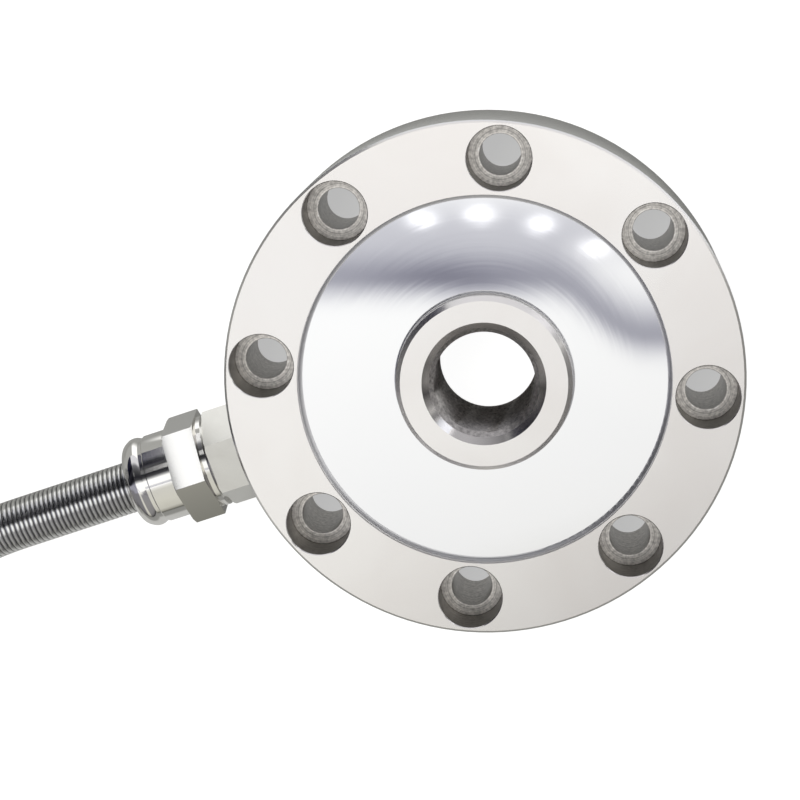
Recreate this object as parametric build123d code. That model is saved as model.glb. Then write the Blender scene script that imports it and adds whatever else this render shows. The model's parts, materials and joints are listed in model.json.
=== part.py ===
from build123d import *
import os
from math import cos, pi, radians, sin, tan

# Low profile load cell: a spoked steel disc with a threaded hub, eight counterbored bolt holes,
# welded covers over its gauge cavity, and a side gland with a spring armoured cable.
# Millimetres. Z is the load axis, the origin is on it in the plane of the base,
# and the cable leaves along -X.

# Outer ring
ring_radius = 52.5
ring_height = 26.0
ring_bevel = 0.5
cover_seat = 2.25
cut_over = 1.0

# Hub
hub_radius = 17.75
hub_rise = 2.4
hub_bevel = 0.93
hub_foot_gap = 0.3
hub_core_step = 1.25
bore_radius = 10.25
bore_mouth_radius = 12.5
bore_foot_bevel = 1.0

# Covers, each sunk below its face of the ring
top_cover_drop = 2.0
base_cover_drop = 1.0
cover_thickness = 0.8
rim_weld = 0.9
hub_weld = 0.45
weld_land = 0.12

# Spokes and the pockets that thin them to a web
spoke_count = 4
first_spoke_angle = 45.0
spoke_width = 10.0
spoke_web = 2.4
spoke_base_gap = 1.2
spoke_root = 2.0
pocket_radius = 5.0

# Bolt holes
bolt_count = 8
bolt_edge = 7.5
bolt_hole_radius = 4.2
counterbore_radius = 6.5
counterbore_depth = 8.5
counterbore_bevel = 0.15
rim_land = 0.75

# Strain gauges and their leads
gauge_side = 6.0
gauge_thickness = 0.3
gauge_lead_radius = 0.45
gauge_lead_gap = 0.85
gauge_lead_rise = 2.5
gauge_lead_bend = 1.2

# Terminal board on its pads, with the trimming resistors. The board leaves a share of the
# cavity's width free at each edge.
board_inner_share = 5 / 33
board_outer_share = 4 / 33
board_thickness = 1.0
board_cover_gap = 1.6
pad_side = 7.0
pad_thickness = 0.6
resistor_count = 4
resistor_length = 4.0
resistor_width = 2.0
resistor_height = 1.1
resistor_edge = 0.25
resistor_turn = -14.0

# Cable port in the ring, with a flat face milled for the adapter
port_height = 14.0
port_face_depth = 0.6
port_face_gap = 0.4
port_thread_radius = 5.0
port_thread_depth = 6.0
port_bore_radius = 3.5
seal_section_radius = 0.6
seal_gap = 0.1

# Adapter with a hexagonal neck
neck_flats = 18.0
neck_length = 7.1
neck_end_radius = 9.9
neck_turn = -2.5
adapter_bore_radius = 3.0
adapter_thread_radius = 7.0
adapter_thread_length = 7.0
adapter_spigot_gap = 0.2

# Washer, coupling nut, collar and what they clamp
washer_radius = 9.75
washer_length = 1.6
washer_bevel = 0.35
nut_flats = 20.0
nut_turn = 22.5
nut_hex_length = 6.6
nut_hex_end_radius = 10.9
nut_barrel_radius = 9.25
nut_barrel_length = 5.4
nut_end_bevel = 0.25
hex_corner_share = 0.5
sleeve_radius = 6.4
collar_groove_radius = 9.0
collar_radius = 9.45
collar_length = 4.8
collar_nose_radius = 6.3
collar_foot_share = 0.15
collar_peak_share = 0.45
collar_shoulder_share = 0.72
collar_nose_swell = 0.75
collar_nose_back = 0.55
grommet_radius = 4.5
grommet_length = 5.6
fit_gap = 0.05

# Signal cable and its cores
cable_radius = 2.75
core_radius = 0.55
core_offset = 0.9
core_bend = 1.5
cable_end_depth = 5.4
core_rise_inset = 3.5

# Armour conduit: level out of the gland, then down to the floor through the lead's bends,
# which are (x, y, height over lying flat)
conduit_radius = 5.4
armour_grip = 4.1
lead_straight_end = 115.0
lead_bends = [(-137.0, -7.0, 5.2), (-156.4, -22.0, 0.6), (-178.5, -40.5, 0.0)]
run_share = 0.45

# The put-away length, wound in two columns of two layers. Its last run climbs on top and drifts
# one diameter inwards, at these degrees of travel round the coil.
lead_heading = 40.0
coil_outer_turn = 59.6
coil_edge_share = 0.5
tail_first_angle = -145.0
tail_travel = 245.0
tail_point_count = 11
tail_climb = (0, 100)
tail_drift = (110, 240)

# Ferrule crimped on the armour's end
end_ferrule_radius = 6.0
end_ferrule_length = 18.0
end_ferrule_edge = 0.6
ferrule_bore_depth = 6.0

# Bare end of the signal cable, lying on the coil. Its stations are
# (angle round the coil, distance outside the coil's middle, height over lying flat).
cable_lead_out = 8.5
cable_stations = [(-68, 4.0, 2.2), (-84, 3.4, 0.6), (-100, 1.2, 0.0)]

# Its cores fan out. Their stations are (angle, distance, spread from one core to the next).
tail_core_radius = 0.65
tail_core_circle = 1.35
tail_core_lead_out = 8.0
tail_core_stations = [(-117, 1.2, 1.8), (-129, 0.8, 2.3), (-141, 0.4, 2.6)]
tail_core_arch = 1.0
tail_core_arch_loss = 0.4
tail_core_stagger = 1.5
tail_core_angles = {
    "core_red": 162,
    "core_black": 234,
    "core_green": 90,
    "core_white": 306,
    "drain_wire": 18,
}

# Heights and stations worked out from the sizes above
bolt_circle_radius = ring_radius - bolt_edge
recess_radius = bolt_circle_radius - counterbore_radius - rim_land
cavity_radius = recess_radius - cover_seat
hub_core_radius = hub_radius + hub_core_step
hub_top = ring_height + hub_rise
top_cover_face = ring_height - top_cover_drop
upper_seat = top_cover_face - cover_thickness
lower_seat = base_cover_drop + cover_thickness
board_top = upper_seat - board_cover_gap
board_base = board_top - board_thickness
spoke_top = board_base - pad_thickness
spoke_base = lower_seat + spoke_base_gap
gauge_height = (spoke_top + spoke_base) / 2
spoke_middle = (hub_core_radius + cavity_radius) / 2
cavity_width = cavity_radius - hub_core_radius
board_inner_radius = hub_core_radius + board_inner_share * cavity_width
board_outer_radius = cavity_radius - board_outer_share * cavity_width
board_middle = (board_inner_radius + board_outer_radius) / 2
core_rise_radius = board_outer_radius - core_rise_inset
port_face = ring_radius - port_face_depth
cable_end_in_port = port_face - cable_end_depth
neck_corner = neck_flats / 2 / cos(radians(30))
port_face_radius = neck_corner + port_face_gap
neck_end = port_face + neck_length
washer_end = neck_end + washer_length
adapter_end = neck_end + adapter_thread_length
nut_shoulder = washer_end + nut_hex_length
barrel_end = nut_shoulder + nut_barrel_length
collar_end = barrel_end + collar_length
conduit_start = barrel_end - armour_grip
conduit_diameter = 2 * conduit_radius
coil_inner_turn = coil_outer_turn - conduit_diameter
coil_middle = (coil_outer_turn + coil_inner_turn) / 2
coil_top = 2 * conduit_diameter
coil_end_height = coil_top + end_ferrule_radius

os.makedirs("parts", exist_ok=True)


def save(name, shape):
    """Write one node's solid."""
    shape.label = name
    export_step(shape, f"parts/{name}.step")


def spun(edges):
    """A solid of revolution about Z from edges drawn as (radius, height)."""
    outline = make_face([Plane.XZ * edge for edge in edges])
    return revolve(outline, Axis.Z)


def turned(points):
    """The same from (radius, height) points joined by straight lines."""
    return spun(Polyline(*points, close=True).edges())


def tube(outer, inner, low, high):
    """A plain ring between two heights."""
    return turned([(inner, low), (outer, low), (outer, high), (inner, high)])


def disc(radius, low, high):
    """A plain cylinder between two heights."""
    return Pos(0, 0, low) * extrude(Circle(radius), high - low)


def block(x_size, y_size, low, high):
    """A box centred on the Z axis between two heights."""
    return Pos(0, 0, low) * extrude(Rectangle(x_size, y_size), high - low)


def along_exit(shape):
    """Turn a shape made about Z, with its height as distance from the load axis, onto the exit."""
    return Pos(0, 0, port_height) * Rot(0, -90, 0) * shape


def around(angle, shape):
    return Rot(0, 0, angle) * shape


def bolt_angles():
    step = 360 / bolt_count
    return [step / 2 + step * i for i in range(bolt_count)]


def spoke_angles():
    return [first_spoke_angle + 360 / spoke_count * i for i in range(spoke_count)]


def body_blank():
    """Ring, covers' seats and hub as one turned piece, before the cavity is opened."""
    return turned(
        [
            (bore_radius, hub_foot_gap + bore_foot_bevel),
            (bore_radius + bore_foot_bevel, hub_foot_gap),
            (hub_radius, hub_foot_gap),
            (hub_radius, lower_seat),
            (recess_radius, lower_seat),
            (recess_radius, 0),
            (ring_radius - ring_bevel, 0),
            (ring_radius, ring_bevel),
            (ring_radius, ring_height - ring_bevel),
            (ring_radius - ring_bevel, ring_height),
            (recess_radius, ring_height),
            (recess_radius, upper_seat),
            (hub_radius, upper_seat),
            (hub_radius, hub_top - hub_bevel),
            (hub_radius - hub_bevel, hub_top),
            (bore_mouth_radius, hub_top),
            (bore_radius, hub_top - bore_mouth_radius + bore_radius),
        ]
    )


def cavity():
    """The space between hub and ring, less the spokes that cross it."""
    space = tube(cavity_radius, hub_core_radius, lower_seat, upper_seat)
    spoke = block(cavity_width + 2 * spoke_root, spoke_width, spoke_base, spoke_top)
    pocket = Rot(90, 0, 0) * extrude(Circle(pocket_radius), spoke_width)
    for side in (1, -1):
        offset = spoke_web / 2 if side < 0 else spoke_web / 2 + spoke_width
        spoke -= Pos(0, side * offset, gauge_height) * pocket
    for angle in spoke_angles():
        space -= around(angle, Pos(spoke_middle, 0, 0) * spoke)
    return space


def bolt_hole():
    """Through hole, counterbore and its broken edge, standing on the load axis."""
    ledge = ring_height - counterbore_depth
    over = counterbore_bevel
    return turned(
        [
            (0, -cut_over),
            (bolt_hole_radius, -cut_over),
            (bolt_hole_radius, ledge),
            (counterbore_radius, ledge),
            (counterbore_radius, ring_height - over),
            (counterbore_radius + 2 * over, ring_height + over),
            (0, ring_height + over),
        ]
    )


def port():
    """Everything cut into the ring for the cable port, about the exit."""
    thread_end = port_face - port_thread_depth
    groove_radius = port_thread_radius + 2 * seal_section_radius + seal_gap
    cut = disc(port_bore_radius, spoke_middle, thread_end + cut_over)
    cut += disc(port_thread_radius, thread_end, ring_radius + cut_over)
    cut += disc(groove_radius, port_face - 2 * seal_section_radius, ring_radius + cut_over)
    cut += disc(port_face_radius, port_face, ring_radius + cut_over)
    return along_exit(cut)


def body():
    shape = body_blank() - cavity()
    for angle in bolt_angles():
        shape -= around(angle, Pos(bolt_circle_radius, 0, 0) * bolt_hole())
    return shape - port()


def cover(face, back, up):
    """A cover ring between hub and rim, with a weld fillet and its land along both edges."""
    rim_round = rim_weld - weld_land
    hub_round = hub_weld - weld_land
    rim_start = (recess_radius - rim_weld, face)
    rim_end = (recess_radius - weld_land, face + up * rim_round)
    hub_start = (hub_radius + weld_land, face + up * hub_round)
    hub_end = (hub_radius + hub_weld, face)
    rim_middle = fillet_middle(rim_start[0], rim_end[1], rim_round, up)
    hub_middle = fillet_middle(hub_end[0], hub_start[1], -hub_round, up)
    edges = [
        Line((hub_radius, back), (recess_radius, back)),
        Line((recess_radius, back), (recess_radius, rim_end[1])),
        Line((recess_radius, rim_end[1]), rim_end),
        ThreePointArc(rim_end, rim_middle, rim_start),
        Line(rim_start, hub_end),
        ThreePointArc(hub_end, hub_middle, hub_start),
        Line(hub_start, (hub_radius, hub_start[1])),
        Line((hub_radius, hub_start[1]), (hub_radius, back)),
    ]
    return spun(edges)


def fillet_middle(x, y, radius, up):
    """The middle point of a quarter arc about (x, y) that turns towards +X or -X."""
    share = cos(radians(45))
    return (x + radius * share, y - up * abs(radius) * share)


def gauge_place(angle, side, shape):
    """Put a shape that faces +Y at one side of one spoke's web."""
    turn = 0 if side > 0 else 180
    return around(angle, Pos(spoke_middle, 0, gauge_height) * Rot(0, 0, turn) * shape)


def strain_gauge():
    """A foil bonded to the web at 45 degrees."""
    foil = Box(gauge_side, gauge_thickness, gauge_side)
    return Pos(0, (spoke_web + gauge_thickness) / 2, 0) * Rot(0, 45, 0) * foil


def bent_wire(points, bend, radius):
    """A round wire through points, with one bend radius."""
    path = FilletPolyline(*points, radius=bend)
    return sweep(Plane(path @ 0, z_dir=path % 0) * Circle(radius), path)


def gauge_lead():
    """A sleeved lead from the gauge out past the spoke's flank and up to the board."""
    start = spoke_web / 2 + gauge_thickness
    flank = spoke_width / 2 + gauge_lead_gap + gauge_lead_radius
    top = board_base - gauge_height
    points = [(0, start, gauge_lead_rise), (0, flank, gauge_lead_rise), (0, flank, top)]
    return bent_wire(points, gauge_lead_bend, gauge_lead_radius)


def terminal_board():
    return tube(board_outer_radius, board_inner_radius, board_base, board_top)


def board_pad(angle):
    return around(angle, Pos(board_middle, 0, 0) * block(pad_side, pad_side, spoke_top, board_base))


def trim_resistor(angle):
    body_box = block(resistor_width, resistor_length, board_top, board_top + resistor_height)
    top_edges = body_box.faces().sort_by(Axis.Z)[-1].edges()
    return around(angle, Pos(board_middle, 0, 0) * fillet(top_edges, resistor_edge))


def port_seal():
    """The O-ring in its groove under the adapter's neck."""
    ring = port_thread_radius + seal_gap / 2 + seal_section_radius
    section = Plane.XZ * Pos(ring, port_face - seal_section_radius) * Circle(seal_section_radius)
    return along_exit(revolve(section, Axis.Z))


def hexagon_bar(flats, turn, low, high, end_radius):
    """A hexagon between two heights, its corners turned down at the upper end."""
    corner = flats / 2 / cos(radians(30))
    drop = (corner - end_radius) * hex_corner_share
    section = RegularPolygon(flats / 2, 6, major_radius=False, rotation=30)
    bar = Pos(0, 0, low) * extrude(section, high - low)
    outline = [(0, low), (corner, low), (corner, high - drop), (end_radius, high), (0, high)]
    return Rot(0, 0, turn) * bar & turned(outline)


def cable_adapter():
    """Threaded spigot in the ring, hexagonal neck, and the thread that carries the nut."""
    spigot_start = port_face - port_thread_depth + adapter_spigot_gap
    shape = disc(port_thread_radius - fit_gap, spigot_start, port_face)
    shape += hexagon_bar(neck_flats, neck_turn, port_face, neck_end, neck_end_radius)
    shape += disc(adapter_thread_radius, neck_end, adapter_end)
    shape -= disc(adapter_bore_radius, spigot_start - cut_over, adapter_end + cut_over)
    shape -= disc(grommet_radius + fit_gap, adapter_end - grommet_length, adapter_end + cut_over)
    return along_exit(shape)


def sealing_washer():
    inner = adapter_thread_radius + fit_gap
    return along_exit(
        turned(
            [
                (inner, neck_end),
                (washer_radius - washer_bevel, neck_end),
                (washer_radius, neck_end + washer_bevel),
                (washer_radius, washer_end - washer_bevel),
                (washer_radius - washer_bevel, washer_end),
                (inner, washer_end),
            ]
        )
    )


def coupling_nut():
    """Hexagon and barrel, bored for the adapter and the sleeve."""
    shape = hexagon_bar(nut_flats, nut_turn, washer_end, nut_shoulder, nut_hex_end_radius)
    shape += turned(
        [
            (0, nut_shoulder),
            (nut_barrel_radius, nut_shoulder),
            (nut_barrel_radius, barrel_end - nut_end_bevel),
            (nut_barrel_radius - nut_end_bevel, barrel_end),
            (0, barrel_end),
        ]
    )
    shape -= disc(adapter_thread_radius + fit_gap, washer_end - cut_over, adapter_end)
    shape -= disc(sleeve_radius + fit_gap, adapter_end, barrel_end + cut_over)
    return along_exit(shape)


def clamping_sleeve():
    """The sleeve that holds the armour's end inside the nut."""
    shape = tube(sleeve_radius, adapter_bore_radius, adapter_end, barrel_end)
    shape -= disc(conduit_radius + fit_gap, conduit_start, barrel_end + cut_over)
    return along_exit(shape)


def hose_collar():
    """The rolled collar that closes the nut around the armour."""
    inner = conduit_radius + fit_gap
    foot = barrel_end + collar_foot_share * collar_length
    peak = barrel_end + collar_peak_share * collar_length
    shoulder = barrel_end + collar_shoulder_share * collar_length
    start = nut_barrel_radius - nut_end_bevel
    nose_radius = (collar_groove_radius + collar_nose_radius) / 2 + collar_nose_swell
    nose_middle = (nose_radius, collar_end - collar_nose_back)
    edges = [
        Line((inner, barrel_end), (start, barrel_end)),
        Line((start, barrel_end), (collar_groove_radius, foot)),
        ThreePointArc(
            (collar_groove_radius, foot), (collar_radius, peak), (collar_groove_radius, shoulder)
        ),
        ThreePointArc(
            (collar_groove_radius, shoulder), nose_middle, (collar_nose_radius, collar_end)
        ),
        Line((collar_nose_radius, collar_end), (inner, collar_end)),
        Line((inner, collar_end), (inner, barrel_end)),
    ]
    return along_exit(spun(edges))


def cable_grommet():
    low = adapter_end - grommet_length
    return along_exit(tube(grommet_radius, cable_radius + fit_gap, low, adapter_end))


def cable_inlet():
    """The jacketed cable from the armour's end into the port."""
    return along_exit(disc(cable_radius, cable_end_in_port, conduit_start))


def inlet_core(side, level):
    """One core from the jacket's end, through the port and up to the board."""
    y = side * core_offset
    z = port_height + level * core_offset
    reach = core_rise_radius + level * 2 * core_offset
    points = [(-cable_end_in_port, y, z), (-reach, y, z), (-reach, y, board_base)]
    return bent_wire(points, core_bend, core_radius)


def corner_radii(points):
    """For each corner, the run share of the shorter run over the tangent of half the turn."""
    places = [Vector(*p) for p in points]
    radii = []
    for a, b, c in zip(places, places[1:], places[2:]):
        turn = (b - a).get_angle(c - b)
        shorter = min((b - a).length, (c - b).length)
        radii.append(run_share * shorter / tan(radians(turn) / 2))
    return radii


def cord_tube(name, points, radius):
    """A plain tube along a route, with its radii, length and volume printed."""
    radii = corner_radii(points)
    path = FilletPolyline(*points, radius=radii)
    shape = sweep(Plane(path @ 0, z_dir=path % 0) * Circle(radius), path)
    expected = pi * radius**2 * path.length
    print(f"{name}: length {path.length:.1f}, least radius {min(radii):.1f},", end=" ")
    print(f"volume over section times length {shape.volume / expected:.5f}")
    return shape


def smooth_step(start, end, travel):
    """0 before start, 1 after end, and an even rise between them."""
    share = min(max((travel - start) / (end - start), 0), 1)
    return share * share * (3 - 2 * share)


def lead_points():
    level = [(-conduit_start, 0, port_height), (-lead_straight_end, 0, port_height)]
    return level + [(x, y, conduit_radius + lift) for x, y, lift in lead_bends]


def coil_centre():
    """The coil's axis, square to the lead's last heading."""
    x, y, _ = lead_bends[-1]
    side = radians(lead_heading)
    return x - coil_outer_turn * sin(side), y + coil_outer_turn * cos(side)


def around_coil(angle, distance, height):
    x, y = coil_centre()
    return (x + distance * cos(radians(angle)), y + distance * sin(radians(angle)), height)


def tail_point(travel):
    """Where the armour's centre is after travel degrees of its last run, clockwise."""
    layer_height = 3 * conduit_radius
    climb = (coil_end_height - layer_height) * smooth_step(*tail_climb, travel)
    distance = coil_outer_turn - conduit_diameter * smooth_step(*tail_drift, travel)
    return around_coil(tail_first_angle - travel, distance, layer_height + climb)


def tail_points():
    step = tail_travel / (tail_point_count - 1)
    return [tail_point(step * i) for i in range(tail_point_count)]


def coil_ring():
    x, y = coil_centre()
    outer = coil_outer_turn + conduit_radius
    inner = coil_inner_turn - conduit_radius
    edge = coil_edge_share * conduit_radius
    ring = tube(outer, inner, 0, coil_top)
    round_edges = ring.edges().filter_by(GeomType.CIRCLE)
    return Pos(x, y, 0) * fillet(round_edges, edge)


def end_ferrule():
    """The crimped ferrule on the armour's end, in line with its last run."""
    points = tail_points()
    start = Vector(*points[-1])
    heading = start - Vector(*points[-2])
    heading = Vector(heading.X, heading.Y, 0).normalized()
    grip = ferrule_bore_depth
    shape = tube(end_ferrule_radius, cable_radius, -grip, end_ferrule_length - grip)
    rims = shape.edges().filter_by(GeomType.CIRCLE).group_by(SortBy.RADIUS)[-1]
    shape = fillet(rims, end_ferrule_edge)
    shape -= disc(conduit_radius, -grip - cut_over, 0)
    plane = Plane(start, z_dir=heading)
    return plane.location * shape, start + heading * (end_ferrule_length - grip), heading


def cable_tail_points(start, heading):
    """From inside the ferrule, down onto the coil and along it."""
    height = coil_top + cable_radius
    first = start - heading * (end_ferrule_length - ferrule_bore_depth)
    leave = start + heading * cable_lead_out
    points = [tuple(first), tuple(leave)]
    for angle, distance, lift in cable_stations:
        points.append(around_coil(angle, coil_middle + distance, height + lift))
    return points


def tail_core_points(place, start_angle, cable_points):
    """One bare core out of the jacket's end, dropping to the coil and fanning out."""
    end = Vector(*cable_points[-1])
    heading = (end - Vector(*cable_points[-2])).normalized()
    outward = heading.cross(Vector(0, 0, 1)).normalized() * -1
    offset = outward * (tail_core_circle * cos(radians(start_angle)))
    offset += outward.cross(heading).normalized() * (tail_core_circle * sin(radians(start_angle)))
    low = coil_top + tail_core_radius
    beside = place - len(tail_core_angles) // 2
    arch = tail_core_arch - tail_core_arch_loss * abs(beside)
    points = [tuple(end + offset), tuple(end + offset + heading * tail_core_lead_out)]
    lifts = (arch, 0, 0)
    turns = (0, 0, tail_core_stagger * (place % 2))
    for (angle, distance, spread), lift, turn in zip(tail_core_stations, lifts, turns):
        away = coil_middle + distance + spread * beside
        points.append(around_coil(angle + turn, away, low + lift))
    return points


def build_cell():
    save("body", body())
    save("top_cover", cover(top_cover_face, upper_seat, 1))
    save("base_cover", cover(base_cover_drop, lower_seat, -1))
    places = [(angle, side) for angle in spoke_angles() for side in (1, -1)]
    for number, (angle, side) in enumerate(places, start=1):
        save(f"strain_gauge_{number}", gauge_place(angle, side, strain_gauge()))
        save(f"gauge_lead_{number}", gauge_place(angle, side, gauge_lead()))
    save("terminal_board", terminal_board())
    for number, angle in enumerate(spoke_angles(), start=1):
        save(f"board_pad_{number}", board_pad(angle))
    for number in range(1, resistor_count + 1):
        save(f"trim_resistor_{number}", trim_resistor(360 / resistor_count * number + resistor_turn))


def build_fitting():
    save("port_seal", port_seal())
    save("cable_adapter", cable_adapter())
    save("sealing_washer", sealing_washer())
    save("coupling_nut", coupling_nut())
    save("clamping_sleeve", clamping_sleeve())
    save("hose_collar", hose_collar())
    save("cable_grommet", cable_grommet())
    save("cable_inlet", cable_inlet())
    corners = [(1, 1), (-1, 1), (1, -1), (-1, -1)]
    for number, (side, level) in enumerate(corners, start=1):
        save(f"inlet_core_{number}", inlet_core(side, level))


def build_cord():
    lead = cord_tube("conduit_lead", lead_points(), conduit_radius)
    tail = cord_tube("conduit_tail", tail_points(), conduit_radius)
    ferrule, ferrule_end, heading = end_ferrule()
    save("conduit_lead", lead)
    save("conduit_coil", coil_ring() - lead - tail)
    save("conduit_tail", tail)
    save("end_ferrule", ferrule)
    points = cable_tail_points(ferrule_end, heading)
    save("cable_tail", cord_tube("cable_tail", points, cable_radius))
    for place, (name, angle) in enumerate(tail_core_angles.items()):
        save(name, cord_tube(name, tail_core_points(place, angle, points), tail_core_radius))


build_cell()
build_fitting()
build_cord()
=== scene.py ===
import json
from math import cos, hypot, pi, radians, sin

import bmesh
import bpy
from mathutils import Euler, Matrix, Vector


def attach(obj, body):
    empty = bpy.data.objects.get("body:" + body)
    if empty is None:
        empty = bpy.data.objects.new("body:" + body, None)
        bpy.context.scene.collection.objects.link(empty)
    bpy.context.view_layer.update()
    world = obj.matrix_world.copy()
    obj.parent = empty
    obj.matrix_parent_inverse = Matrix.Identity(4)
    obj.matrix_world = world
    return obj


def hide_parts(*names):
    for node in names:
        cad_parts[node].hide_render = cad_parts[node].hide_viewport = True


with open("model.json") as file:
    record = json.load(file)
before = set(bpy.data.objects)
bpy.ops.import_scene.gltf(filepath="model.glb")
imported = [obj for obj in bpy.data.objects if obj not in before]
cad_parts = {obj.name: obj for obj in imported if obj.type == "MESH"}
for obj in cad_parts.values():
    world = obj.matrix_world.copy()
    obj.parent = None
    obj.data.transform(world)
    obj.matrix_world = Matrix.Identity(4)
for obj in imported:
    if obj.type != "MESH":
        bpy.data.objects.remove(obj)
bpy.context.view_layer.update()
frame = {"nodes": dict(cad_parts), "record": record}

cadNodes = frame["nodes"]
mm = 0.001


# Small helpers for objects and node trees

def feed(tree, socket, value):
    if isinstance(value, bpy.types.NodeSocket):
        tree.links.new(value, socket)
    elif value is not None:
        socket.default_value = value


def addNode(tree, kind, inputs=None, **settings):
    made = tree.nodes.new(kind)
    for name, value in settings.items():
        setattr(made, name, value)
    for key, value in (inputs or {}).items():
        feed(tree, made.inputs[key], value)
    return made


def calc(tree, operation, *values):
    made = addNode(tree, "ShaderNodeMath", operation=operation)
    for socket, value in zip(made.inputs, values):
        feed(tree, socket, value)
    return made.outputs[0]


def product(tree, first, *others):
    for other in others:
        first = calc(tree, "MULTIPLY", first, other)
    return first


def total(tree, first, *others):
    for other in others:
        first = calc(tree, "ADD", first, other)
    return first


def opposite(tree, mask):
    return calc(tree, "SUBTRACT", 1.0, mask)


def within(tree, value, low, high):
    return product(tree, calc(tree, "GREATER_THAN", value, low), calc(tree, "LESS_THAN", value, high))


def spread(tree, mask, low, high):
    # a mask from 0 to 1 laid over a range
    return total(tree, product(tree, mask, high - low), low)


def partsOf(tree, vector):
    return addNode(tree, "ShaderNodeSeparateXYZ", {"Vector": vector}).outputs


def offAxis(tree, x, y):
    # distance from the axis
    return calc(tree, "SQRT", total(tree, product(tree, x, x), product(tree, y, y)))


def mixColour(tree, factor, first, second, blend="MIX"):
    made = addNode(tree, "ShaderNodeMix", data_type="RGBA", blend_type=blend)
    feed(tree, made.inputs["Factor"], factor)
    feed(tree, made.inputs[6], first)
    feed(tree, made.inputs[7], second)
    return made.outputs[2]


def shaded(tree, tint, shade):
    return mixColour(tree, 1.0, rgba(*tint), shade, blend="MULTIPLY")


def edgeMask(tree, value, start, end):
    # 0 before start and 1 past end, with an even rise between, whichever of them is the larger
    made = addNode(tree, "ShaderNodeMapRange", interpolation_type="SMOOTHSTEP")
    feed(tree, made.inputs["Value"], value)
    feed(tree, made.inputs["From Min"], min(start, end))
    feed(tree, made.inputs["From Max"], max(start, end))
    mask = made.outputs["Result"]
    return mask if start < end else opposite(tree, mask)


def rgba(red, green, blue):
    return (red, green, blue, 1.0)


def newGroup(name, inputs, outputs):
    tree = bpy.data.node_groups.new(name, "ShaderNodeTree")
    for title, kind, default in inputs:
        socket = tree.interface.new_socket(title, in_out="INPUT", socket_type=kind)
        if default is not None:
            socket.default_value = default
    for title, kind in outputs:
        tree.interface.new_socket(title, in_out="OUTPUT", socket_type=kind)
    return tree, tree.nodes.new("NodeGroupInput"), tree.nodes.new("NodeGroupOutput")


def useGroup(tree, group, inputs):
    made = addNode(tree, "ShaderNodeGroup", node_tree=group)
    for key, value in inputs.items():
        feed(tree, made.inputs[key], value)
    return made


def linkObject(piece):
    bpy.context.scene.collection.objects.link(piece)
    return piece


# Camera

cameraSet = {
    "place": (0.0440944, 0.0789389, 0.4649582),
    "turn": (-10.1154, 1.7218, -18.7814),  # degrees about X, Y and Z
    "lens": 100.534,
    "shift": (-0.125, -0.0875),
}


def buildCamera():
    data = bpy.data.cameras.new("studioCamera")
    data.lens = cameraSet["lens"]
    data.sensor_width = 36.0
    data.shift_x, data.shift_y = cameraSet["shift"]
    data.clip_start = 0.01
    data.clip_end = 50.0
    made = linkObject(bpy.data.objects.new("studioCamera", data))
    made.location = cameraSet["place"]
    made.rotation_euler = Euler([radians(a) for a in cameraSet["turn"]])
    bpy.context.scene.camera = made


buildCamera()
print("camera set")


# Armour conduit: its route repeats the solids' route, then it is wound as it is stored

armour = {
    "length": 1.479,
    "radius": 5.4 * mm,
    "lead": [
        (-68.5, 0.0, 14.0),
        (-91.7, 0.0, 14.0),
        (-115.0, 0.0, 14.0),
        (-137.0, -7.0, 10.6),
        (-156.4, -22.0, 6.0),
        (-178.5, -40.5, 5.4),
    ],
    "leadHeading": 40.0,
    "outerTurn": 59.6,
    "firstAngle": -50.0,
    "pointsPerTurn": 16,
    # stretches of the winding, in degrees of travel
    "stepIn": (290, 355),
    "climb": (585, 650),
    "stepOut": (880, 945),
    "lastClimb": (1175, 1275),
    "lastStepIn": (1285, 1415),
    "woundTravel": 1361.25,
    "lastTravel": (1395.5, 1420.0),
    "topHeight": 27.6,
    "ribPitch": 1.02 * mm,
    "ribDepth": 0.34 * mm,
    "ribSides": 20,
}
diameterMm = 2 * armour["radius"] / mm


def smoothStep(start, end, travel):
    share = min(max((travel - start) / (end - start), 0), 1)
    return share * share * (3 - 2 * share)


def coilCentre():
    x, y, _ = armour["lead"][-1]
    side = radians(armour["leadHeading"])
    return x - armour["outerTurn"] * sin(side), y + armour["outerTurn"] * cos(side)


def aroundCoil(angle, distance, height):
    x, y = coilCentre()
    return (x + distance * cos(radians(angle)), y + distance * sin(radians(angle)), height)


def coilPoint(travel, swell=1.0):
    distance = armour["outerTurn"]
    distance -= diameterMm * smoothStep(*armour["stepIn"], travel)
    distance += diameterMm * smoothStep(*armour["stepOut"], travel)
    distance -= diameterMm * smoothStep(*armour["lastStepIn"], travel)
    height = diameterMm / 2
    height += diameterMm * smoothStep(*armour["climb"], travel)
    height += (armour["topHeight"] - 1.5 * diameterMm) * smoothStep(*armour["lastClimb"], travel)
    return aroundCoil(armour["firstAngle"] - travel, distance * swell, height)


def armourRoute():
    points = list(armour["lead"])
    step = 360 / armour["pointsPerTurn"]
    swell = 1 / cos(radians(step / 2))  # the spline runs inside its control points
    travel = step / 2
    while travel <= armour["woundTravel"] + 0.01:
        points.append(coilPoint(travel, swell))
        travel += step
    points += [coilPoint(travel) for travel in armour["lastTravel"]]
    return points


def splineObject(name, pointsMm, bevel=0.0, bevelSteps=5, resolution=12):
    data = bpy.data.curves.new(name, "CURVE")
    data.dimensions = "3D"
    data.resolution_u = resolution
    spline = data.splines.new("NURBS")
    spline.points.add(len(pointsMm) - 1)
    for target, (x, y, z) in zip(spline.points, pointsMm):
        target.co = (x * mm, y * mm, z * mm, 1.0)
    spline.order_u = 3
    spline.use_endpoint_u = True
    data.bevel_depth = bevel
    data.bevel_resolution = bevelSteps
    data.use_fill_caps = bevel > 0
    return linkObject(bpy.data.objects.new(name, data))


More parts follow.
